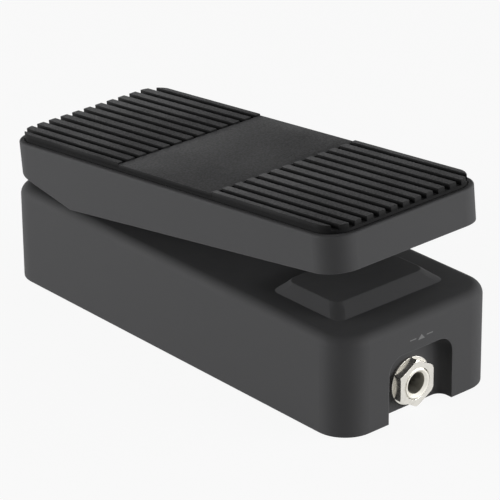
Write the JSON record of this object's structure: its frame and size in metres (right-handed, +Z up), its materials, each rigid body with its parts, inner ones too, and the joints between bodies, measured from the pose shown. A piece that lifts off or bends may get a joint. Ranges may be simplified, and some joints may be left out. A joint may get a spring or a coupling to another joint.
{
  "type": "volume pedal",
  "caption": "Compact foot volume pedal: a tilting ribbed treadle on a box housing with a recessed jack socket at each end, geared to a potentiometer.",
  "frame": {"origin": "on the floor, at the middle of the overall box seen from above", "axes": "+Y to the toe end, +X to the player's right, +Z up"},
  "size_m": [0.0592, 0.15, 0.0631],
  "materials": {
    "body_coat": "matte dark grey coat on cast aluminium",
    "tread_coat": "matte dark grey coat on cast aluminium",
    "mat_rubber": "ribbed matte rubber",
    "plate_steel": "matte black painted steel sheet",
    "screw_steel": "black zinc screws",
    "foot_rubber": "matte black rubber",
    "stop_rubber": "matte rubber",
    "nickel": "bright nickel plate",
    "jack_plastic": "black moulded plastic",
    "contact_brass": "tinned brass",
    "axle_steel": "ground steel",
    "nylon": "natural nylon",
    "bush_bronze": "sintered bronze",
    "bracket_steel": "zinc plated steel",
    "pot_can": "zinc plated can",
    "pinion_brass": "machined brass",
    "wire_red": "red wire insulation",
    "wire_black": "black wire insulation"
  },
  "bodies": {
    "chassis": {"body_shell": "body_coat", "base_plate": "plate_steel", "cover_screws": "screw_steel", "rubber_feet": "foot_rubber", "heel_stops": "stop_rubber", "output_jack_case": "jack_plastic", "output_jack_neck": "nickel", "output_jack_washer": "nickel", "output_jack_nut": "nickel", "output_jack_contacts": "contact_brass", "input_jack_case": "jack_plastic", "input_jack_neck": "nickel", "input_jack_washer": "nickel", "input_jack_nut": "nickel", "input_jack_contacts": "contact_brass", "pivot_axle": "axle_steel", "friction_washers": "nylon", "axle_clips": "axle_steel", "pot_bracket": "bracket_steel", "bracket_screws": "screw_steel", "pot_case": "pot_can", "pot_neck": "nickel", "pot_washer": "nickel", "pot_nut": "nickel", "pot_terminals": "contact_brass", "signal_wires": "wire_red", "ground_wire": "wire_black"},
    "treadle": {"treadle_shell": "tread_coat", "treadle_mat": "mat_rubber", "pivot_bushes": "bush_bronze", "gear_sector": "bracket_steel", "sector_screws": "screw_steel", "toe_stop": "stop_rubber"},
    "pot_spindle": {"pot_shaft": "axle_steel", "pinion": "pinion_brass", "pinion_grub_screw": "screw_steel"}
  },
  "joints": [
    {"name": "treadle_tilt", "type": "hinge", "parent": "chassis", "child": "treadle", "pos_m": [0, -0.045, 0.0383], "axis": [-1, 0, 0], "range_deg": [-8, 9]},
    {"name": "pot_turn", "type": "hinge", "parent": "chassis", "child": "pot_spindle", "pos_m": [0, -0.02528, 0.0126], "axis": [-1, 0, 0], "range_deg": [-52, 46.2]}
  ],
  "couplings": [
    {"joint": "pot_turn", "follows": "treadle_tilt", "ratio": -5.75}
  ]
}
